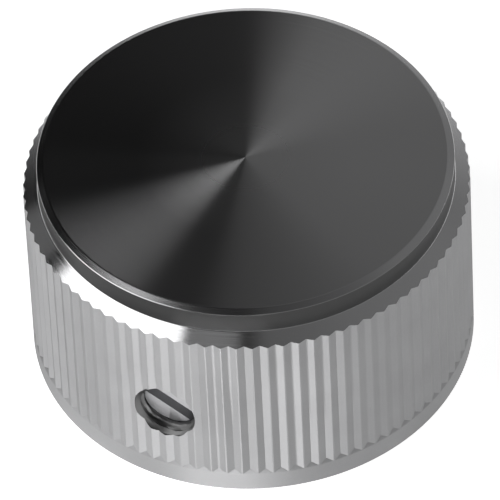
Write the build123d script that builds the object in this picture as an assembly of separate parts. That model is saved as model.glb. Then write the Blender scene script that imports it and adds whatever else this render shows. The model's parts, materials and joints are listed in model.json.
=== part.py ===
from build123d import *
from math import cos, radians, sin, tan
import os

# A turned aluminium instrument knob with a fluted flank, held on its shaft by a set screw.
# It stands on its base. The origin is the centre of the base, and Z is the shaft's axis.
# All sizes are in millimetres.

# The turned outline, from the base up.
body_diameter = 28.6
body_height = 15.9
base_edge_break = 0.15
shelf_width = 0.95
shelf_drop = 0.62
step_wall_height = 1.48
rim_bevel_width = 0.45
rim_bevel_drop = 0.2

# The flutes: shallow V-shaped cuts with a narrow land between each two. They run out through the
# shelf, and end in a short slope at the bottom, above a plain band.
flute_count = 90
flute_depth = 0.15
flute_land_width = 0.08
flute_end_angle = 45.0
plain_band_height = 1.6

# The underside: a shallow recess for the bushing's nut, and the blind bore for the shaft.
nut_recess_diameter = 14.3
nut_recess_depth = 1.6
shaft_diameter = 6.35
shaft_clearance = 0.03
bore_mouth_chamfer = 0.25
drill_point_angle = 118.0
web_under_face = 1.6

# The set screw lies along Y and shows at the front. Its hole starts in the bore.
screw_diameter = 4.17
screw_clearance = 0.02
screw_height = 6.4
screw_recess = 1.05
screw_bore_gap = 0.52
screw_edge_chamfer = 0.3
screw_point_chamfer = 0.7
screw_cup_diameter = 2.2
screw_cup_depth = 0.5
screw_slot_width = 0.85
screw_slot_depth = 1.0
screw_slot_angle = -28.0

# Radii and levels that follow from the sizes above.
flank_radius = body_diameter / 2
wall_radius = flank_radius - shelf_width
face_radius = wall_radius - rim_bevel_width
rim_z = body_height - rim_bevel_drop
shelf_z = rim_z - step_wall_height
flank_top_z = shelf_z - shelf_drop
nut_recess_radius = nut_recess_diameter / 2
bore_radius = shaft_diameter / 2 + shaft_clearance
drill_point_height = bore_radius / tan(radians(drill_point_angle / 2))
bore_end_z = body_height - web_under_face - drill_point_height
screw_radius = screw_diameter / 2
screw_outer_r = flank_radius - screw_recess
screw_inner_r = bore_radius + screw_bore_gap

# The screw's axis, pointing out of the flank, with the screw's own X level and to the right.
screw_plane = Plane(origin=(0, 0, screw_height), x_dir=(1, 0, 0), z_dir=(0, -1, 0))


def turned_blank():
    """The knob as it leaves the lathe: one closed outline, turned about the axis."""
    outline = Polyline(
        (0, body_height),
        (face_radius, body_height),
        (wall_radius, rim_z),
        (wall_radius, shelf_z),
        (flank_radius, flank_top_z),
        (flank_radius, base_edge_break),
        (flank_radius - base_edge_break, 0),
        (nut_recess_radius, 0),
        (nut_recess_radius, nut_recess_depth),
        (bore_radius + bore_mouth_chamfer, nut_recess_depth),
        (bore_radius, nut_recess_depth + bore_mouth_chamfer),
        (bore_radius, bore_end_z),
        (0, bore_end_z + drill_point_height),
        close=True,
    )
    return revolve(Plane.XZ * make_face(outline), axis=Axis.Z)


def flute_cutters():
    """A V-shaped bar for each flute, with a sloping foot, standing round the flank."""
    half_turn = radians(180 / flute_count) - flute_land_width / (2 * flank_radius)
    root_r = flank_radius - flute_depth
    outer_r = flank_radius + flute_depth
    wall_x = flank_radius * cos(half_turn) - root_r
    wall_y = flank_radius * sin(half_turn)
    past = 1.03
    section = Polyline(
        (root_r, 0),
        (root_r + wall_x * past, wall_y * past),
        (outer_r, wall_y * past),
        (outer_r, -wall_y * past),
        (root_r + wall_x * past, -wall_y * past),
        close=True,
    )
    bar = extrude(make_face(section), amount=body_height)
    foot_rise = flute_depth / tan(radians(flute_end_angle))
    side = Polyline(
        (root_r - flute_depth, plain_band_height + 2 * foot_rise),
        (outer_r, plain_band_height - foot_rise),
        (outer_r, body_height),
        (root_r - flute_depth, body_height),
        close=True,
    )
    cutter = bar & extrude(Plane.XZ * make_face(side), amount=flank_radius, both=True)
    return [Rot(0, 0, 360 / flute_count * i) * cutter for i in range(flute_count)]


def screw_hole():
    """The cross hole, from the shaft's axis out through the flank at the front."""
    outwards = (Align.CENTER, Align.CENTER, Align.MIN)
    hole_radius = screw_radius + screw_clearance
    return screw_plane * Cylinder(hole_radius, body_diameter, align=outwards)


def knob_body():
    """The body, with its flutes and its cross hole cut in the turned blank."""
    return turned_blank() - flute_cutters() - screw_hole()


def set_screw():
    """A headless screw, turned to its outline, with a cupped point and a driver's slot."""
    cup_radius = screw_cup_diameter / 2
    point_radius = screw_radius - screw_point_chamfer
    outline = Polyline(
        (0, screw_outer_r),
        (screw_radius - screw_edge_chamfer, screw_outer_r),
        (screw_radius, screw_outer_r - screw_edge_chamfer),
        (screw_radius, screw_inner_r + screw_point_chamfer),
        (point_radius, screw_inner_r),
        (cup_radius, screw_inner_r),
        (0, screw_inner_r + screw_cup_depth),
        close=True,
    )
    shank = screw_plane * revolve(Plane.XZ * make_face(outline), axis=Axis.Z)
    slot_floor = Pos(0, 0, screw_outer_r - screw_slot_depth)
    slot = Box(
        screw_diameter,
        screw_slot_width,
        screw_slot_depth,
        align=(Align.CENTER, Align.CENTER, Align.MIN),
    )
    return shank - screw_plane * slot_floor * Rot(0, 0, screw_slot_angle) * slot


os.makedirs("parts", exist_ok=True)
export_step(knob_body(), "parts/knob_body.step")
export_step(set_screw(), "parts/set_screw.step")
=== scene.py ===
# %% [markdown]
# # A turned knob with a fluted flank
# The object is an instrument knob, turned from one piece of aluminium bar, with a slotted screw in
# its side that grips the shaft. The engineering model gives every size and place. This lesson makes
# the surfaces that the eye sees: crisp flutes, a cut thread, and metal that shows how it was turned.

# %% Load the fixed frame
import json
from math import cos, pi, radians, sin, tan

import bmesh
import bpy
from mathutils import Euler, Matrix, Vector


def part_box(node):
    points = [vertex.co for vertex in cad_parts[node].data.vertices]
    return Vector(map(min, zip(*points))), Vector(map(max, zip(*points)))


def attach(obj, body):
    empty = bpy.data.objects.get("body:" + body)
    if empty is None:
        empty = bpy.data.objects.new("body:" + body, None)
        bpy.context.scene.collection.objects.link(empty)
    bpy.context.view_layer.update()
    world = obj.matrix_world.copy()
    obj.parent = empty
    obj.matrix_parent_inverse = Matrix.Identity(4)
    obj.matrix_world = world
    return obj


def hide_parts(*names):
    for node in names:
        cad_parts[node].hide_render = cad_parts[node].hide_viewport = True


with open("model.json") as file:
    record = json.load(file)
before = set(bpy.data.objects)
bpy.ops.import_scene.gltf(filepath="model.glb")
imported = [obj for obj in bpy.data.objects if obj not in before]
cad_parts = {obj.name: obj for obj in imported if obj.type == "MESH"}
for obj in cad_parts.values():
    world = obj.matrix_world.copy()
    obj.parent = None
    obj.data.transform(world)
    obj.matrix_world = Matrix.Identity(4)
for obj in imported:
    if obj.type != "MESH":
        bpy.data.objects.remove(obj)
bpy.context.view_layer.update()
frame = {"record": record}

mm = 0.001

# %% [markdown]
# ## Sizes
# Lengths are in metres, because the frame is. What the frame can say is read from it: the knob's
# diameter and height, the screw's place and the bore. The small steps of the rim can't be read from
# a box, so they are written here once, in millimetres, as a maker's drawing would give them.

# %% The knob's sizes
_, body_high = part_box("knob_body")
screw_low, screw_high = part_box("set_screw")
mounts = {mount["name"]: mount for mount in frame["record"]["mounts"]}

flank_radius = body_high.x
body_height = body_high.z
base_edge_break = 0.15 * mm
shelf_width = 0.95 * mm
shelf_drop = 0.62 * mm
step_wall_height = 1.48 * mm
rim_bevel_width = 0.45 * mm
rim_bevel_drop = 0.2 * mm
bore_radius = mounts["shaft_bore"]["dims"]["r_mm"] * mm
bore_length = mounts["shaft_bore"]["dims"]["length_mm"] * mm
bore_start_z = mounts["shaft_bore"]["pos_m"][2]
nut_recess_radius = 7.15 * mm
nut_recess_depth = 1.6 * mm
flute_count = 90
flute_depth = 0.15 * mm
flute_land_width = 0.08 * mm
flute_foot_rise = 0.3 * mm
plain_band_height = 1.6 * mm

wall_radius = flank_radius - shelf_width
face_radius = wall_radius - rim_bevel_width
rim_z = body_height - rim_bevel_drop
shelf_z = rim_z - step_wall_height
flank_top_z = shelf_z - shelf_drop
print("flank from", round(base_edge_break / mm, 2), "to", round(flank_top_z / mm, 2), "mm")

# %% [markdown]
# ## A short way to write a node tree
# A node tree built in a script is long if every link has its own line. Three small helpers keep it
# readable: `add` makes a node and sets its options, `feed` gives a socket either a plain value or
# another node's output, and `maths` writes one sum as one call. The others build on these three.

# %% Helpers for node trees
def add(tree, kind, **options):
    """Makes a node of this kind and sets its options."""
    made = tree.nodes.new(kind)
    made.location = (170 * (len(tree.nodes) % 12), -220 * (len(tree.nodes) // 12))
    for name, value in options.items():
        setattr(made, name, value)
    return made


def feed(tree, socket, value):
    """Links an output to this socket, or writes a plain value in it."""
    if isinstance(value, bpy.types.NodeSocket):
        tree.links.new(value, socket)
    else:
        socket.default_value = value


def maths(tree, operation, *values):
    """One sum on one or two numbers, as a node."""
    made = add(tree, "ShaderNodeMath", operation=operation)
    for socket, value in zip(made.inputs, values):
        feed(tree, socket, value)
    return made.outputs[0]


def piece_tree(name, sizes):
    """A geometry tree with one geometry input, one output, and a named input for each size."""
    tree = bpy.data.node_groups.new(name, "GeometryNodeTree")
    tree.interface.new_socket("Geometry", in_out="OUTPUT", socket_type="NodeSocketGeometry")
    tree.interface.new_socket("Outline", in_out="INPUT", socket_type="NodeSocketGeometry")
    for size, kind in sizes.items():
        tree.interface.new_socket(size, in_out="INPUT", socket_type="NodeSocket" + kind)
    given = add(tree, "NodeGroupInput").outputs
    return tree, given


def xyz(tree, vector):
    """The three parts of a vector, as three outputs."""
    parts = add(tree, "ShaderNodeSeparateXYZ")
    feed(tree, parts.inputs[0], vector)
    return parts.outputs


def vector(tree, x, y, z):
    """A vector from three numbers."""
    made = add(tree, "ShaderNodeCombineXYZ")
    for socket, value in zip(made.inputs, (x, y, z)):
        feed(tree, socket, value)
    return made.outputs[0]


def moved(tree, geometry, position, selection=True):
    """The geometry with its points at these positions."""
    made = add(tree, "GeometryNodeSetPosition")
    feed(tree, made.inputs["Geometry"], geometry)
    feed(tree, made.inputs["Position"], position)
    feed(tree, made.inputs["Selection"], selection)
    return made.outputs[0]


def from_axis(tree, x, y):
    """The distance from the Z axis."""
    squares = maths(tree, "ADD", maths(tree, "POWER", x, 2), maths(tree, "POWER", y, 2))
    return maths(tree, "SQRT", squares)


# %% [markdown]
# ## The lathe
# Both pieces are turned, so both start as an outline swept round an axis. Blender's Spin tool could
# do it, and so could a Screw modifier. A node tree is used instead, because the next steps cut
# flutes and a thread by moving the swept points, and for that each point has to stand at a known
# angle. The tree makes a flat grid with one column of points for each step round the axis, then
# wraps it: a point's column gives its angle, and its row gives its place on the outline.

# %% The lathe, which both pieces use
turned_uv = "turned_uv"
weld_distance = 0.0005 * mm
sharp_from = radians(40)
fine_bend = radians(8)


def lathe(tree, outline, sides, gather=None):
    """The outline swept round Z in this many steps, with a UV map that runs along the outline.

    The steps are even, unless gather moves them: it is given each column's turn, from 0 to 1.
    """
    rows = add(tree, "GeometryNodeAttributeDomainSize", component="MESH")
    feed(tree, rows.inputs[0], outline)
    row_count = rows.outputs["Point Count"]
    grid = add(tree, "GeometryNodeMeshGrid")
    feed(tree, grid.inputs["Vertices X"], maths(tree, "ADD", sides, 1))
    feed(tree, grid.inputs["Vertices Y"], row_count)

    index = add(tree, "GeometryNodeInputIndex").outputs[0]
    row = maths(tree, "FLOORED_MODULO", index, row_count)
    column = maths(tree, "FLOOR", maths(tree, "DIVIDE", index, row_count))
    turn = maths(tree, "DIVIDE", column, sides)
    if gather:
        turn = gather(turn)
    angle = maths(tree, "MULTIPLY", turn, 2 * pi)

    on_outline = add(tree, "GeometryNodeSampleIndex", data_type="FLOAT_VECTOR", domain="POINT")
    feed(tree, on_outline.inputs["Geometry"], outline)
    feed(tree, on_outline.inputs["Value"], add(tree, "GeometryNodeInputPosition").outputs[0])
    feed(tree, on_outline.inputs["Index"], row)
    radius, _, height = xyz(tree, on_outline.outputs[0])
    across = maths(tree, "MULTIPLY", radius, maths(tree, "COSINE", angle))
    along = maths(tree, "MULTIPLY", radius, maths(tree, "SINE", angle))
    turned = moved(tree, grid.outputs["Mesh"], vector(tree, across, along, height))

    on_points = add(tree, "GeometryNodeFieldOnDomain", data_type="FLOAT_VECTOR", domain="POINT")
    progress = maths(tree, "DIVIDE", row, row_count)
    feed(tree, on_points.inputs[0], vector(tree, progress, turn, 0.0))
    uv = add(tree, "GeometryNodeStoreNamedAttribute", data_type="FLOAT2", domain="CORNER")
    feed(tree, uv.inputs["Geometry"], turned)
    feed(tree, uv.inputs["Name"], turned_uv)
    feed(tree, uv.inputs["Value"], on_points.outputs[0])
    return uv.outputs[0]


def polar(tree):
    """A point's distance from the Z axis, its angle round it, and its three coordinates."""
    x, y, z = xyz(tree, add(tree, "GeometryNodeInputPosition").outputs[0])
    return from_axis(tree, x, y), maths(tree, "ARCTAN2", y, x), x, y, z


def pulled_in(tree, geometry, new_radius):
    """Points further from the axis than new_radius, moved in to it at the same angle."""
    radius, _, x, y, z = polar(tree)
    share = maths(tree, "DIVIDE", new_radius, radius)
    place = vector(tree, maths(tree, "MULTIPLY", x, share), maths(tree, "MULTIPLY", y, share), z)
    return moved(tree, geometry, place, maths(tree, "LESS_THAN", new_radius, radius))


def closed(tree, geometry):
    """The mesh with its seam and its poles closed."""
    merge = add(tree, "GeometryNodeMergeByDistance")
    feed(tree, merge.inputs["Geometry"], geometry)
    feed(tree, merge.inputs["Distance"], weld_distance)
    return merge.outputs[0]


def crisp(tree, geometry, least_bend=sharp_from):
    """Smooth faces, with a sharp edge wherever two faces meet at a real corner."""
    smooth = add(tree, "GeometryNodeSetShadeSmooth", domain="FACE")
    feed(tree, smooth.inputs["Geometry"], geometry)
    bend = add(tree, "GeometryNodeInputMeshEdgeAngle").outputs["Unsigned Angle"]
    sharp = add(tree, "GeometryNodeSetShadeSmooth", domain="EDGE")
    feed(tree, sharp.inputs["Geometry"], smooth.outputs[0])
    feed(tree, sharp.inputs["Selection"], maths(tree, "GREATER_THAN", bend, least_bend))
    feed(tree, sharp.inputs["Shade Smooth"], False)
    return sharp.outputs[0]


def finished(tree, geometry, coats):
    """Ends the tree: a material for each selection, then the output."""
    for material, selection in coats:
        coat = add(tree, "GeometryNodeSetMaterial")
        feed(tree, coat.inputs["Geometry"], geometry)
        feed(tree, coat.inputs["Selection"], selection)
        feed(tree, coat.inputs["Material"], material)
        geometry = coat.outputs[0]
    real = add(tree, "GeometryNodeRealizeInstances")
    feed(tree, real.inputs[0], geometry)
    feed(tree, add(tree, "NodeGroupOutput").inputs[0], real.outputs[0])


# %% [markdown]
# ## Outlines
# An outline is a short list of corners, each a radius from the axis, a height and how far it is
# rounded. No machined edge is truly sharp: a rounding of a few hundredths of a millimetre is too
# small to see as a shape, but it catches a line of light along every edge. Rows that a later step
# needs, such as the ones at the top and the foot of the flutes, are put between the corners.

# %% Helpers for outlines
edge_rounding = 0.04 * mm
rounding_steps = 2
flat_guard = 0.015 * mm


def rounded(corners):
    """The outline's points, with each corner that has a rounding replaced by a short curve.

    A guard point lies just before and just after the curve, so that the flat beside it stays flat.
    """
    points = [Vector(corners[0][:2])]
    for before, corner, after in zip(corners, corners[1:], corners[2:]):
        here = Vector(corner[:2])
        if not corner[2]:
            points.append(here)
            continue
        back = (Vector(before[:2]) - here).normalized()
        ahead = (Vector(after[:2]) - here).normalized()
        start = here + back * corner[2]
        end = here + ahead * corner[2]
        points.append(start + back * flat_guard)
        for step in range(rounding_steps + 1):
            t = step / rounding_steps
            points.append(start * (1 - t) ** 2 + here * 2 * t * (1 - t) + end * t ** 2)
        points.append(end + ahead * flat_guard)
    points.append(Vector(corners[-1][:2]))
    return points


def stretch(start, end, count):
    """Points between two corners, evenly spaced and without the corners themselves."""
    first, last = Vector(start), Vector(end)
    return [(*first.lerp(last, (i + 1) / (count + 1)), 0.0) for i in range(count)]


def outline_object(name, corners):
    """An object whose mesh is the outline: points in the XZ plane, joined by edges."""
    points = rounded(corners)
    mesh = bpy.data.meshes.new(name)
    edges = [(i, i + 1) for i in range(len(points) - 1)]
    mesh.from_pydata([(p.x, 0.0, p.y) for p in points], edges, [])
    made = bpy.data.objects.new(name, mesh)
    bpy.context.scene.collection.objects.link(made)
    print(name, "has", len(points), "rows")
    return made


def run_tree(outline, tree, sizes):
    """Runs a tree on an outline and leaves the result as the object's own plain mesh."""
    modifier = outline.modifiers.new(tree.name, "NODES")
    modifier.node_group = tree
    identifiers = {item.name: item.identifier for item in tree.interface.items_tree}
    for name, value in sizes.items():
        modifier[identifiers[name]] = value
    depsgraph = bpy.context.evaluated_depsgraph_get()
    outline.data = bpy.data.meshes.new_from_object(outline.evaluated_get(depsgraph))
    outline.modifiers.clear()
    outline.data.name = outline.name
    print(outline.name, "has", len(outline.data.polygons), "faces")
    return outline


# %% [markdown]
# ## The screw's thread, and the tap
# A headless screw is turned to its outline, then a thread is cut in it. The thread is a rule: a
# point's height and angle say where it stands between root and crest, and that sets its distance
# from the axis. The same rule makes the tap, the tool that cuts the thread in the knob, a hair
# larger all round. So the two threads match turn for turn, and neither cuts into the other.

# %% The thread's tree
screw_radius = (screw_high.z - screw_low.z) / 2
screw_z = (screw_high.z + screw_low.z) / 2
screw_start = -screw_high.y
screw_end = -screw_low.y
screw_clearance = 0.02 * mm
thread_pitch = 0.794 * mm
thread_depth = 0.45 * mm
crest_flat = 0.1


def thread_radius(tree, major, depth, pitch):
    """The thread's surface: the distance from the axis for each point's height and angle."""
    _, angle, _, _, height = polar(tree)
    wound = maths(tree, "DIVIDE", angle, 2 * pi)
    turns = maths(tree, "SUBTRACT", maths(tree, "DIVIDE", height, pitch), wound)
    phase = maths(tree, "FLOORED_MODULO", turns, 1.0)
    slope = maths(tree, "ABSOLUTE", maths(tree, "SUBTRACT", maths(tree, "MULTIPLY", phase, 2.0), 1.0))
    past_crest = maths(tree, "SUBTRACT", slope, crest_flat)
    flats = maths(tree, "MULTIPLY", past_crest, 1 / (1 - 2 * crest_flat))
    share = maths(tree, "MAXIMUM", maths(tree, "MINIMUM", flats, 1.0), 0.0)
    return maths(tree, "SUBTRACT", major, maths(tree, "MULTIPLY", share, depth))


def threaded_tree(name, coats, with_slot):
    """A turned piece with a thread, laid along the screw's hole, with or without a driver's slot."""
    tree, given = piece_tree(
        name,
        {
            "Sides": "Int",
            "Thread radius": "Float",
            "Thread depth": "Float",
            "Pitch": "Float",
            "Least radius": "Float",
            "Flare from": "Float",
            "Slot": "Object",
            "Place": "Vector",
        },
    )
    turned = lathe(tree, given["Outline"], given["Sides"])
    thread = thread_radius(tree, given["Thread radius"], given["Thread depth"], given["Pitch"])
    height = polar(tree)[4]
    flare = maths(tree, "SUBTRACT", height, given["Flare from"])
    least = maths(tree, "ADD", given["Least radius"], maths(tree, "MAXIMUM", flare, 0.0))
    kept = maths(tree, "MAXIMUM", thread, least)
    solid = closed(tree, pulled_in(tree, turned, kept))
    if with_slot:
        cut = add(tree, "GeometryNodeMeshBoolean", operation="DIFFERENCE", solver="EXACT")
        tool = add(tree, "GeometryNodeObjectInfo", transform_space="ORIGINAL")
        feed(tree, tool.inputs["Object"], given["Slot"])
        feed(tree, cut.inputs["Mesh 1"], solid)
        feed(tree, cut.inputs["Mesh 2"], tool.outputs["Geometry"])
        solid = cut.outputs["Mesh"]
    laid = add(tree, "GeometryNodeTransform")
    feed(tree, laid.inputs["Geometry"], crisp(tree, solid))
    feed(tree, laid.inputs["Rotation"], (radians(90), 0.0, 0.0))
    feed(tree, laid.inputs["Translation"], given["Place"])
    finished(tree, laid.outputs[0], coats)
    return tree


# %% [markdown]
# ## Finishes
# One bar of metal shows six finishes. The flank is dull and even, the way etched and clear-anodised
# aluminium is. The shelf and the bevel were left bright by the lathe tool. The step's upright wall
# between them is painted near black, with a greyed reflection: painted shade in place of the pale
# floor that it would mirror. The face has fine rings, which catch light in a wedge. Its rings lean
# outwards and are turned a little, as a swirl is, and that turns the wedge away from the lamp. The
# underside is plain turning. The cross hole has the tap's torn surface, and its metal is painted
# dark as painted shade inside the hole. Each finish reads the piece's own coordinates, so it sits
# still on the metal.

# %% Helpers for finishes
def finish(name, colour, metallic, roughness, options=None):
    """A material with one Principled shader, and its constants set on the shader's own sockets."""
    material = bpy.data.materials.new(name)
    material.use_nodes = True
    tree = material.node_tree
    shader = tree.nodes["Principled BSDF"]
    shader.inputs["Base Color"].default_value = (*colour, 1.0)
    shader.inputs["Metallic"].default_value = metallic
    shader.inputs["Roughness"].default_value = roughness
    for socket, value in (options or {}).items():
        shader.inputs[socket].default_value = value
    return material, tree, shader


noise_low = 0.3
noise_high = 0.7


def noise(tree, where, scale, detail=2.0, dimensions="3D"):
    """A noise, from about noise_low to noise_high, read at these coordinates."""
    made = add(tree, "ShaderNodeTexNoise", noise_dimensions=dimensions)
    feed(tree, made.inputs["W" if dimensions == "1D" else "Vector"], where)
    feed(tree, made.inputs["Scale"], scale)
    feed(tree, made.inputs["Detail"], detail)
    return made.outputs[0]


def between(tree, value, low, high, to_low, to_high):
    """A value moved from one range to another, and held within it."""
    made = add(tree, "ShaderNodeMapRange")
    for socket, number in zip(made.inputs, (value, low, high, to_low, to_high)):
        feed(tree, socket, number)
    return made.outputs[0]


def spread(tree, speckle, low, high):
    """A noise, stretched to run from low to high."""
    return between(tree, speckle, noise_low, noise_high, low, high)


def grey(tree, shader, value, tint):
    """Feeds the base colour with a grey of this value, shifted by a faint tint."""
    colour = add(tree, "ShaderNodeCombineColor")
    for socket, share in zip(colour.inputs, tint):
        feed(tree, socket, maths(tree, "MULTIPLY", value, share))
    feed(tree, shader.inputs["Base Color"], colour.outputs[0])


def bumped(tree, shader, height, depth):
    """Relief from a height that runs from 0 to 1, this deep in metres."""
    bump = add(tree, "ShaderNodeBump")
    feed(tree, bump.inputs["Strength"], 1.0)
    feed(tree, bump.inputs["Distance"], depth)
    feed(tree, bump.inputs["Height"], height)
    feed(tree, shader.inputs["Normal"], bump.outputs[0])


def along_outline(tree, shader):
    """Turns the stretched highlight so that it runs across the tool's rings."""
    tangent = add(tree, "ShaderNodeTangent", direction_type="UV_MAP", uv_map=turned_uv)
    feed(tree, shader.inputs["Tangent"], tangent.outputs[0])


def object_place(tree):
    """A point's place in the knob's own frame, in metres."""
    return add(tree, "ShaderNodeTexCoord").outputs["Object"]


def ring_place(tree):
    """How far along its outline a point on a turned surface lies: radius and height together."""
    x, y, z = xyz(tree, object_place(tree))
    radius = from_axis(tree, x, y)
    return maths(tree, "ADD", radius, z), radius


# %% The dull flank
def satin_flank():
    """Etched and anodised aluminium, whose faint rings stretch the highlight one way."""
    material, tree, shader = finish("satin_flank", (0.395,) * 3, 1.0, 0.55, {"Anisotropic": 0.82})
    place = object_place(tree)
    grain = noise(tree, place, 9000.0)
    cloud = noise(tree, place, 260.0)
    tone = spread(tree, cloud, 0.38, 0.41)
    grey(tree, shader, tone, (1.0, 1.0, 1.015))
    bumped(tree, shader, grain, 0.0006 * mm)
    feed(tree, shader.inputs["Roughness"], spread(tree, grain, 0.53, 0.58))
    along_outline(tree, shader)
    return material


# %% The bright turned rim, and the step's wall in painted shade
def bright_turned():
    """Metal as the lathe tool leaves it, with rings too fine to count."""
    material, tree, shader = finish("bright_turned", (0.66, 0.66, 0.67), 1.0, 0.16, {"Anisotropic": 0.6})
    along, _ = ring_place(tree)
    rings = noise(tree, along, 26000.0, 1.0, "1D")
    bumped(tree, shader, rings, 0.0008 * mm)
    feed(tree, shader.inputs["Roughness"], spread(tree, rings, 0.12, 0.2))
    along_outline(tree, shader)
    return material


def parted_wall():
    """The step's upright wall, painted near black with a greyed reflection: painted shade, not a finish.
    """
    options = {"Anisotropic": 0.3, "Specular Tint": (0.8, 0.8, 0.8, 1.0)}
    # Painted shade: the base colour 0.05 and the Specular Tint darken what the wall reflects.
    material, tree, shader = finish("parted_wall", (0.05,) * 3, 1.0, 0.3, options)
    along, _ = ring_place(tree)
    rings = noise(tree, along, 12000.0, 1.0, "1D")
    bumped(tree, shader, rings, 0.0008 * mm)
    along_outline(tree, shader)
    return material


# %% The spun face
ring_lean = tan(radians(14))
ring_spread = tan(radians(1))
ring_swirl = 13


def spun_face():
    """Fine rings that lean outwards and swirl a little, and stretch a highlight into a wedge."""
    options = {"Anisotropic": 0.96, "Anisotropic Rotation": ring_swirl / 360}
    material, tree, shader = finish("spun_face", (0.48, 0.48, 0.485), 1.0, 0.21, options)
    place = object_place(tree)
    x, y, _ = xyz(tree, place)
    _, radius = ring_place(tree)
    rings = noise(tree, radius, 6000.0, 3.0, "1D")
    lean = spread(tree, rings, ring_lean - ring_spread, ring_lean + ring_spread)
    share = maths(tree, "DIVIDE", lean, radius)
    outwards = vector(tree, maths(tree, "MULTIPLY", x, share), maths(tree, "MULTIPLY", y, share), 1.0)
    swirled = add(tree, "ShaderNodeVectorRotate", rotation_type="Z_AXIS")
    feed(tree, swirled.inputs["Vector"], outwards)
    feed(tree, swirled.inputs["Angle"], radians(ring_swirl))
    upright = add(tree, "ShaderNodeVectorMath", operation="NORMALIZE")
    feed(tree, upright.inputs[0], swirled.outputs[0])
    feed(tree, shader.inputs["Normal"], upright.outputs[0])
    feed(tree, shader.inputs["Roughness"], between(tree, radius, 1 * mm, 7 * mm, 0.3, 0.21))
    along_outline(tree, shader)
    return material


# %% The underside and the bore
def plain_turned():
    """Turned metal that nobody polished: wider rings, and a little duller."""
    material, tree, shader = finish("plain_turned", (0.55, 0.55, 0.56), 1.0, 0.3, {"Anisotropic": 0.5})
    along, _ = ring_place(tree)
    rings = noise(tree, along, 9000.0, 2.0, "1D")
    bumped(tree, shader, rings, 0.003 * mm)
    feed(tree, shader.inputs["Roughness"], spread(tree, rings, 0.25, 0.38))
    along_outline(tree, shader)
    return material


# %% The tapped hole and the screw
def tapped_metal():
    """Aluminium inside the cross hole, torn a little by the tap, and painted dark as painted shade."""
    options = {"Specular Tint": (0.5, 0.5, 0.5, 1.0)}
    # Painted shade: the dark base colour and the Specular Tint darken the hole, not the metal's own
    # tone.
    material, tree, shader = finish("tapped_metal", (0.15,) * 3, 1.0, 0.39, options)
    tears = noise(tree, object_place(tree), 4000.0)
    bumped(tree, shader, tears, 0.01 * mm)
    return material


def screw_steel():
    """Plain steel, a little darker than the knob and rubbed bright."""
    material, tree, shader = finish("screw_steel", (0.45, 0.45, 0.46), 1.0, 0.5)
    smear = noise(tree, object_place(tree), 2200.0)
    bumped(tree, shader, smear, 0.012 * mm)
    feed(tree, shader.inputs["Roughness"], spread(tree, smear, 0.44, 0.56))
    return material


coat_flank = satin_flank()
coat_rim = bright_turned()
coat_wall = parted_wall()
coat_face = spun_face()
coat_under = plain_turned()
coat_hole = tapped_metal()
coat_screw = screw_steel()

# %% [markdown]
# ## The set screw
# The screw is a short turned rod with a thread, a slot for the driver at its outer end and a cupped
# point at the other. It is a separate piece: the eye sees its slotted end at the bottom of the hole.
# The rod's rows are close together along the thread, because each row is one sample of the rule.

# %% The screw's outline, and the slot's cutter
rows_per_pitch = 12
screw_sides = 64
screw_edge_chamfer = 0.3 * mm
screw_point_chamfer = 0.7 * mm
screw_cup_radius = 1.1 * mm
screw_cup_depth = 0.5 * mm
slot_width = 0.85 * mm
slot_depth = 1.0 * mm
slot_angle = radians(-28)
cutter_overshoot = 0.2 * mm


def screw_outline():
    """The screw's corners, from the point's cup to the driver's end."""
    shank_start = (screw_radius, screw_start + screw_point_chamfer)
    shank_end = (screw_radius, screw_end - screw_edge_chamfer)
    rows = round((shank_end[1] - shank_start[1]) / thread_pitch * rows_per_pitch)
    return [
        (0.0, screw_start + screw_cup_depth, 0.0),
        (screw_cup_radius, screw_start, 0.0),
        (screw_radius - screw_point_chamfer, screw_start, 0.0),
        (*shank_start, 0.0),
        *stretch(shank_start, shank_end, rows),
        (*shank_end, 0.0),
        (screw_radius - screw_edge_chamfer, screw_end, edge_rounding),
        (0.0, screw_end, 0.0),
    ]


def slot_cutter():
    """A block as wide as the slot, standing in the screw's own frame before it is laid down."""
    mesh = bpy.data.meshes.new("slot_cutter")
    block = bmesh.new()
    bmesh.ops.create_cube(block, size=1.0)
    long = screw_radius * 3
    tall = slot_depth + cutter_overshoot
    scale = Matrix.Diagonal((long, slot_width, tall, 1.0))
    place = Matrix.Translation((0.0, 0.0, screw_end - slot_depth + tall / 2))
    block.transform(place @ Matrix.Rotation(slot_angle, 4, "Z") @ scale)
    block.to_mesh(mesh)
    block.free()
    made = bpy.data.objects.new("slot_cutter", mesh)
    bpy.context.scene.collection.objects.link(made)
    return made


# %% Turn, thread and slot the screw
no_flare = 1.0
slot_tool = slot_cutter()
set_screw = outline_object("slotted_screw", screw_outline())
run_tree(
    set_screw,
    threaded_tree("threaded_screw", [(coat_screw, True)], with_slot=True),
    {
        "Sides": screw_sides,
        "Thread radius": screw_radius,
        "Thread depth": thread_depth,
        "Pitch": thread_pitch,
        "Least radius": 0.0,
        "Flare from": no_flare,
        "Slot": slot_tool,
        "Place": (0.0, 0.0, screw_z),
    },
)

# %% Make the tap, which cuts the knob's own thread
drilled_radius = 1.8 * mm
mouth_radius = 2.1 * mm


def tap_outline():
    """A plain rod from the bore's middle to past the flank."""
    start = (screw_radius + screw_clearance, 0.0)
    end = (screw_radius + screw_clearance, flank_radius + cutter_overshoot)
    rows = round(end[1] / thread_pitch * rows_per_pitch)
    return [
        (0.0, 0.0, 0.0),
        (*start, 0.0),
        *stretch(start, end, rows),
        (*end, 0.0),
        (0.0, end[1], 0.0),
    ]


tap = outline_object("tap_cutter", tap_outline())
run_tree(
    tap,
    threaded_tree("tap", [(coat_hole, True)], with_slot=False),
    {
        "Sides": screw_sides,
        "Thread radius": screw_radius + screw_clearance,
        "Thread depth": thread_depth,
        "Pitch": thread_pitch,
        "Least radius": drilled_radius,
        "Flare from": flank_radius - flute_depth - (mouth_radius - drilled_radius),
        "Place": (0.0, 0.0, screw_z),
    },
)
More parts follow.
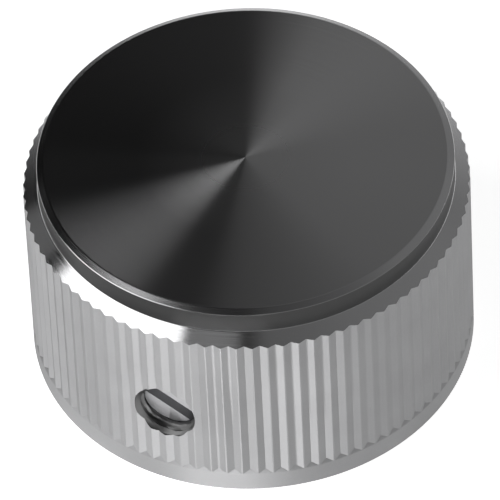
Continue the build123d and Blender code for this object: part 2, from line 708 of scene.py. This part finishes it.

# %% [markdown]
# ## The knob's body
# The body is one turned piece with ninety V-shaped flutes. They could be ninety cutters and a
# boolean, as the engineering model has them, but a boolean that large is slow and leaves ragged
# faces. Here the lathe gives each flute a fan of steps, and a rule moves the points that lie inside
# a cutter onto its surface: the V's two walls, and the short slope at its foot. The edges stay
# straight because points lie exactly on them: a column in each root and on each edge of every
# land, and a row that slides to where the cutter meets the shelf, and one to where its foot ends.
# Only the tapped hole is a true boolean. The tap's own coat, dark with painted shade, comes through it
# and marks the hole.

# %% The flutes' rule
def beside_root(tree, flutes):
    """How far a place, counted in flutes, lies from the nearest root: from -0.5 to 0.5."""
    step = maths(tree, "FLOORED_MODULO", maths(tree, "ADD", flutes, 0.5), 1.0)
    return maths(tree, "SUBTRACT", step, 0.5)


def to_flutes(tree, turn, count, steps, land, radius):
    """Moves the columns, so that one stands in each root and one on each edge of every land."""
    flutes = maths(tree, "MULTIPLY", turn, count)
    off = beside_root(tree, flutes)
    root = maths(tree, "SUBTRACT", flutes, off)
    girth = maths(tree, "MULTIPLY", radius, 2 * pi)
    lands = maths(tree, "MULTIPLY", land, count)
    land_share = maths(tree, "DIVIDE", lands, maths(tree, "MULTIPLY", girth, 2))
    aside = maths(tree, "ABSOLUTE", off)
    edge_from = maths(tree, "SUBTRACT", 0.5, maths(tree, "DIVIDE", 1.0, steps))
    edge_to = maths(tree, "SUBTRACT", 0.5, land_share)
    in_wall = maths(tree, "MULTIPLY", aside, maths(tree, "DIVIDE", edge_to, edge_from))
    step_share = maths(tree, "MULTIPLY", land_share, steps)
    past = maths(tree, "MULTIPLY", maths(tree, "SUBTRACT", 0.5, aside), step_share)
    on_land = maths(tree, "SUBTRACT", 0.5, past)
    place = maths(tree, "MULTIPLY", maths(tree, "MINIMUM", in_wall, on_land), maths(tree, "SIGN", off))
    return maths(tree, "DIVIDE", maths(tree, "ADD", root, place), count)


def flute_radius(tree, count, depth, land, radius, lowest, foot):
    """The cutters' surface, as a distance from the axis for each point's angle and height."""
    _, angle, _, _, z = polar(tree)
    pitch = maths(tree, "DIVIDE", 2 * pi, count)
    off = beside_root(tree, maths(tree, "DIVIDE", angle, pitch))
    aside = maths(tree, "ABSOLUTE", maths(tree, "MULTIPLY", off, pitch))

    root = maths(tree, "SUBTRACT", radius, depth)
    land_turn = maths(tree, "DIVIDE", land, maths(tree, "MULTIPLY", radius, 2))
    half_turn = maths(tree, "SUBTRACT", maths(tree, "DIVIDE", pitch, 2), land_turn)
    land_x = maths(tree, "MULTIPLY", radius, maths(tree, "COSINE", half_turn))
    wall_x = maths(tree, "SUBTRACT", land_x, root)
    wall_y = maths(tree, "MULTIPLY", radius, maths(tree, "SINE", half_turn))
    lean = maths(tree, "MULTIPLY", maths(tree, "SINE", aside), maths(tree, "DIVIDE", wall_x, wall_y))
    wall = maths(tree, "DIVIDE", root, maths(tree, "SUBTRACT", maths(tree, "COSINE", aside), lean))

    below = maths(tree, "SUBTRACT", maths(tree, "ADD", lowest, foot), z)
    climb = maths(tree, "MULTIPLY", below, maths(tree, "DIVIDE", depth, foot))
    slope = maths(tree, "ADD", root, climb)
    return maths(tree, "MAXIMUM", wall, slope)


def cut_flutes(tree, geometry, surface, given):
    """Moves the points that lie inside a cutter onto its surface.

    Points on the shelf slide up along it, and the row above the flutes' feet slides down, so that
    both rows end exactly on the edges that the cutter leaves.
    """
    radius, _, x, y, z = polar(tree)
    cut = maths(tree, "MINIMUM", radius, surface)
    share = maths(tree, "DIVIDE", cut, radius)
    shelf_from = maths(tree, "SUBTRACT", given["Shelf from"], weld_distance)
    on_shelf = maths(tree, "GREATER_THAN", z, shelf_from)
    in_by = maths(tree, "SUBTRACT", radius, cut)
    rise = maths(tree, "MULTIPLY", maths(tree, "MULTIPLY", in_by, given["Shelf slope"]), on_shelf)
    foot_top = maths(tree, "ADD", given["Lowest flute"], given["Foot rise"])
    at_foot = maths(tree, "COMPARE", z, foot_top, weld_distance)
    root = maths(tree, "SUBTRACT", given["Flank radius"], given["Flute depth"])
    foot_slope = maths(tree, "DIVIDE", given["Foot rise"], given["Flute depth"])
    fall = maths(tree, "MULTIPLY", maths(tree, "SUBTRACT", cut, root), foot_slope)
    slid_down = maths(tree, "MULTIPLY", fall, at_foot)
    height = maths(tree, "SUBTRACT", maths(tree, "ADD", z, rise), slid_down)
    place = vector(tree, maths(tree, "MULTIPLY", x, share), maths(tree, "MULTIPLY", y, share), height)
    return moved(tree, geometry, place)


# %% The body's tree
facing_down = -0.9


def on_faces(tree, value):
    """A value of a whole face, so that a selection doesn't split at its corners."""
    made = add(tree, "GeometryNodeFieldOnDomain", data_type="FLOAT", domain="FACE")
    feed(tree, made.inputs[0], value)
    return made.outputs[0]


def tapped(tree, solid, tap_object):
    """The solid with the tap cut out of it, and which of its faces the tap made."""
    tool = add(tree, "GeometryNodeObjectInfo", transform_space="ORIGINAL")
    feed(tree, tool.inputs["Object"], tap_object)
    cut = add(tree, "GeometryNodeMeshBoolean", operation="DIFFERENCE", solver="EXACT")
    feed(tree, cut.inputs["Mesh 1"], solid)
    feed(tree, cut.inputs["Mesh 2"], tool.outputs["Geometry"])
    from_tap = add(tree, "GeometryNodeMaterialSelection")
    feed(tree, from_tap.inputs["Material"], coat_hole)
    marked = add(tree, "GeometryNodeCaptureAttribute", domain="FACE")
    marked.capture_items.new("BOOLEAN", "In hole")
    feed(tree, marked.inputs["Geometry"], cut.outputs["Mesh"])
    feed(tree, marked.inputs["In hole"], from_tap.outputs[0])
    return marked.outputs["Geometry"], marked.outputs["In hole"]


def body_coats(tree, given, in_hole):
    """Each finish with the faces that it covers. A later one goes over an earlier one."""
    radius, _, _, _, z = polar(tree)
    height = on_faces(tree, z)
    out = on_faces(tree, radius)
    up = xyz(tree, add(tree, "GeometryNodeInputNormal").outputs[0])[2]
    on_rim = maths(tree, "GREATER_THAN", height, given["Shelf from"])
    on_face = maths(tree, "GREATER_THAN", height, given["Face from"])
    above_shelf = maths(tree, "GREATER_THAN", height, given["Wall from"])
    on_wall = maths(tree, "MULTIPLY", above_shelf, maths(tree, "LESS_THAN", height, given["Wall to"]))
    inside = maths(tree, "LESS_THAN", out, given["Inside radius"])
    under = maths(tree, "MAXIMUM", inside, maths(tree, "LESS_THAN", up, facing_down))
    below_rim = maths(tree, "LESS_THAN", height, given["Shelf from"])
    return [
        (coat_flank, True),
        (coat_rim, on_rim),
        (coat_wall, on_wall),
        (coat_face, on_face),
        (coat_under, maths(tree, "MULTIPLY", under, below_rim)),
        (coat_hole, in_hole),
    ]


def body_bend(tree, given):
    """The least bend that makes an edge sharp. Between the flutes' walls a fine one is enough."""
    radius, _, _, _, z = polar(tree)
    root = maths(tree, "SUBTRACT", given["Flank radius"], given["Flute depth"])
    beyond_root = maths(tree, "GREATER_THAN", radius, root)
    over_feet = maths(tree, "GREATER_THAN", z, given["Lowest flute"])
    in_flutes = maths(tree, "MULTIPLY", beyond_root, over_feet)
    eased = maths(tree, "MULTIPLY", in_flutes, sharp_from - fine_bend)
    return maths(tree, "SUBTRACT", sharp_from, eased)


def body_tree():
    """Turned, fluted, welded, tapped, and coated by where each face lies."""
    tree, given = piece_tree(
        "fluted_body",
        {
            "Flutes": "Int",
            "Steps for each flute": "Int",
            "Flute depth": "Float",
            "Land width": "Float",
            "Flank radius": "Float",
            "Lowest flute": "Float",
            "Foot rise": "Float",
            "Shelf slope": "Float",
            "Shelf from": "Float",
            "Wall from": "Float",
            "Wall to": "Float",
            "Face from": "Float",
            "Inside radius": "Float",
            "Tap": "Object",
        },
    )
    steps = given["Steps for each flute"]

    def gather(turn):
        """The rule that puts the columns where the flutes need them."""
        return to_flutes(tree, turn, given["Flutes"], steps, given["Land width"], given["Flank radius"])

    turned = lathe(tree, given["Outline"], maths(tree, "MULTIPLY", given["Flutes"], steps), gather)
    surface = flute_radius(
        tree,
        given["Flutes"],
        given["Flute depth"],
        given["Land width"],
        given["Flank radius"],
        given["Lowest flute"],
        given["Foot rise"],
    )
    fluted = closed(tree, cut_flutes(tree, turned, surface, given))
    solid, in_hole = tapped(tree, fluted, given["Tap"])
    coats = body_coats(tree, given, in_hole)
    finished(tree, crisp(tree, solid, body_bend(tree, given)), coats)
    return tree


# %% The body's outline
steps_per_flute = 10
flank_rows = 2
guard = 0.02 * mm
drill_point_angle = radians(118)


def body_outline():
    """The body's corners, from the middle of the face out, down the flank and up the bore."""
    flute_floor = flank_radius - flute_depth
    slope = shelf_drop / shelf_width
    runout_start = (flute_floor, flank_top_z + flute_depth * slope)
    bore_end_z = bore_start_z + bore_length
    drill_point = bore_radius / tan(drill_point_angle / 2)
    mouth_chamfer = bore_start_z - nut_recess_depth
    foot_top = plain_band_height + flute_foot_rise
    return [
        (0.0, body_height, 0.0),
        (face_radius / 2, body_height, 0.0),
        (face_radius, body_height, edge_rounding),
        (wall_radius, rim_z, edge_rounding),
        (wall_radius, shelf_z, edge_rounding),
        (flute_floor - guard, runout_start[1] + guard * slope, 0.0),
        (*runout_start, 0.0),
        (flank_radius, flank_top_z, 0.0),
        *stretch((flank_radius, flank_top_z), (flank_radius, foot_top), flank_rows),
        (flank_radius, foot_top, 0.0),
        (flank_radius, plain_band_height, 0.0),
        (flank_radius, plain_band_height - guard, 0.0),
        (flank_radius, base_edge_break, edge_rounding),
        (flank_radius - base_edge_break, 0.0, edge_rounding),
        (nut_recess_radius, 0.0, edge_rounding),
        (nut_recess_radius, nut_recess_depth, edge_rounding),
        (bore_radius + mouth_chamfer, nut_recess_depth, 0.0),
        (bore_radius, bore_start_z, 0.0),
        (bore_radius, bore_end_z, 0.0),
        (0.0, bore_end_z + drill_point, 0.0),
    ]


# %% Turn, flute and tap the body
hair = 0.001 * mm
recess_margin = 0.1 * mm
body = outline_object("fluted_knob", body_outline())
run_tree(
    body,
    body_tree(),
    {
        "Flutes": flute_count,
        "Steps for each flute": steps_per_flute,
        "Flute depth": flute_depth,
        "Land width": flute_land_width,
        "Flank radius": flank_radius,
        "Lowest flute": plain_band_height,
        "Foot rise": flute_foot_rise,
        "Shelf slope": shelf_drop / shelf_width,
        "Shelf from": flank_top_z,
        "Wall from": shelf_z,
        "Wall to": rim_z,
        "Face from": body_height - hair,
        "Inside radius": nut_recess_radius + recess_margin,
        "Tap": tap,
    },
)

# %% Put the cutters away, and check the two pieces
for cutter in (slot_tool, tap):
    bpy.data.objects.remove(cutter)


def volume_and_gaps(piece):
    """The volume in cubic millimetres, positive if faces point outwards, and the open edges."""
    mesh = bmesh.new()
    mesh.from_mesh(piece.data)
    amount = mesh.calc_volume(signed=True)
    gaps = sum(1 for edge in mesh.edges if len(edge.link_faces) != 2)
    mesh.free()
    return round(amount / mm ** 3, 1), gaps


for piece in (body, set_screw):
    print(piece.name, "volume and open edges:", volume_and_gaps(piece))

# %% Tell the frame what each piece is
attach(body, "root")
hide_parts("knob_body")
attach(set_screw, "root")
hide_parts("set_screw")

# %% [markdown]
# ## The room
# Polished metal has hardly a colour of its own: it shows the room. So the room comes before the
# lamps. It is dim overhead, because the flat face looks straight up into it, and a little brighter
# on one side than on the other. Two lists give its levels, each a pair: how far up from the horizon,
# and how bright it is there. The floor is a plain pale sheet. The eye and the metal both see it as
# white, and it keeps a soft shadow.

# %% Floor and surroundings
floor_size = 6.0
floor_colour = 0.9
floor_glow = 0.85
camera_azimuth = radians(24.8)


def direction(azimuth, elevation):
    """A unit vector from the knob: azimuth from the camera's side, positive to its right."""
    a = camera_azimuth + radians(azimuth)
    e = radians(elevation)
    return Vector((sin(a) * cos(e), -cos(a) * cos(e), sin(e)))


def seen_directly(tree):
    """1 for the camera's own rays and for those that metal or glass sends on, and 0 for others."""
    path = add(tree, "ShaderNodeLightPath")
    mirrored = maths(tree, "MAXIMUM", path.outputs["Is Glossy Ray"], path.outputs["Is Transmission Ray"])
    return maths(tree, "MAXIMUM", path.outputs["Is Camera Ray"], mirrored)


def floor_sheet():
    """A wide pale sheet under the knob."""
    mesh = bpy.data.meshes.new("floor")
    half = floor_size / 2
    corners = [(-half, -half, 0.0), (half, -half, 0.0), (half, half, 0.0), (-half, half, 0.0)]
    mesh.from_pydata(corners, [], [(0, 1, 2, 3)])
    made = bpy.data.objects.new("floor", mesh)
    bpy.context.scene.collection.objects.link(made)
    options = {"Specular IOR Level": 0.0, "Emission Color": (1.0, 1.0, 1.0, 1.0)}
    material, tree, shader = finish("pale_sheet", (floor_colour,) * 3, 0.0, 1.0, options)
    glow = maths(tree, "MULTIPLY", seen_directly(tree), floor_glow)
    feed(tree, shader.inputs["Emission Strength"], glow)
    mesh.materials.append(material)


bright_side = 90
side_edge = (-0.04, 0.06)
bright_levels = [
    (0.0, 0.4),
    (0.3, 0.24),
    (0.42, 0.18),
    (0.6, 0.2),
    (0.85, 0.17),
    (0.94, 0.1),
    (0.96, 0.09),
    (1.0, 0.05),
]
dim_levels = [(0.0, 0.15), (0.25, 0.02), (0.45, 0.005), (0.8, 0.005), (0.9, 0.03), (1.0, 0.02)]


def ladder(tree, value, levels):
    """A value read off a list of steps, each a place and the level there, with slopes between."""
    ramp = add(tree, "ShaderNodeValToRGB")
    feed(tree, ramp.inputs[0], value)
    steps = ramp.color_ramp.elements
    while len(steps) < len(levels):
        steps.new(0.5)
    for step, (place, level) in zip(steps, levels):
        step.position = place
        step.color = (level, level, level, 1.0)
    return ramp.outputs[0]


def surroundings():
    """A room that is brighter near the horizon and on one side, and dim overhead."""
    world = bpy.data.worlds.new("room")
    bpy.context.scene.world = world
    world.use_nodes = True
    tree = world.node_tree
    place = add(tree, "ShaderNodeTexCoord").outputs["Generated"]
    height = xyz(tree, place)[2]
    facing = add(tree, "ShaderNodeVectorMath", operation="DOT_PRODUCT")
    feed(tree, facing.inputs[0], place)
    feed(tree, facing.inputs[1], direction(bright_side, 0))
    side = between(tree, facing.outputs["Value"], *side_edge, 0.0, 1.0)
    both = add(tree, "ShaderNodeMix", data_type="RGBA")
    feed(tree, both.inputs[0], side)
    feed(tree, both.inputs[6], ladder(tree, height, dim_levels))
    feed(tree, both.inputs[7], ladder(tree, height, bright_levels))
    feed(tree, tree.nodes["Background"].inputs["Color"], both.outputs[2])


floor_sheet()
surroundings()

# %% [markdown]
# ## Lamps
# A large soft lamp stands on the left, high enough for the sloping shelf to mirror it, which makes
# the white arc, and for the rings of the face to stretch it into a wedge. A thin strip lies in front
# at the height of the flank. It rakes across the flutes, so that one wall of each is light and the
# other is dark, and it stays below the flat face, which never mirrors it. Two small faint lamps, one
# at the back left and one high in front, lift the face a little where it would be black.

# %% Lamps
camera_elevation = 47.8
camera_roll = radians(-2.9)
camera_distance = 0.6
view_width = 32.2 * mm
look_at = Vector((0.0, 0.0, 7.1 * mm))
sensor_width = 36.0


def soft_lamp(name, azimuth, elevation, distance, width, height, radiance, roll=0):
    """An oval lamp that faces the knob. Radiance is how bright it looks, with white at 1.

    The angles are in degrees, as direction takes them, and the lengths are in metres.
    """
    light = bpy.data.lights.new(name, "AREA")
    light.shape = "ELLIPSE"
    light.size = width
    light.size_y = height
    light.energy = radiance * pi * (pi / 4 * width * height)
    made = bpy.data.objects.new(name, light)
    bpy.context.scene.collection.objects.link(made)
    towards = direction(azimuth, elevation)
    made.location = look_at + towards * distance
    made.rotation_mode = "QUATERNION"
    turn = Euler((0.0, 0.0, radians(roll))).to_quaternion()
    made.rotation_quaternion = towards.to_track_quat("Z", "Y") @ turn
    made.visible_camera = False


soft_lamp("left_softbox", -76, 34, 0.6, 0.52, 0.82, 2.0, -12)
soft_lamp("low_front_strip", -15.5, 0, 0.4, 0.34, 0.012, 85.0)
soft_lamp("left_glow", -121, 27, 0.6, 0.24, 0.16, 0.14)
soft_lamp("top_glow", -27, 65, 0.6, 0.16, 0.12, 0.24)


# %% Camera
def camera():
    """A long lens at the photograph's angle, rolled a little as the photograph is."""
    data = bpy.data.cameras.new("camera")
    data.sensor_width = sensor_width
    data.lens = sensor_width * camera_distance / view_width
    data.clip_end = 20.0
    made = bpy.data.objects.new("camera", data)
    bpy.context.scene.collection.objects.link(made)
    back = direction(0, camera_elevation)
    made.location = look_at + back * camera_distance
    made.rotation_mode = "QUATERNION"
    roll = Euler((0.0, 0.0, camera_roll)).to_quaternion()
    made.rotation_quaternion = (-back).to_track_quat("-Z", "Y") @ roll
    bpy.context.scene.camera = made


camera()
bpy.context.scene.view_settings.view_transform = "Standard"
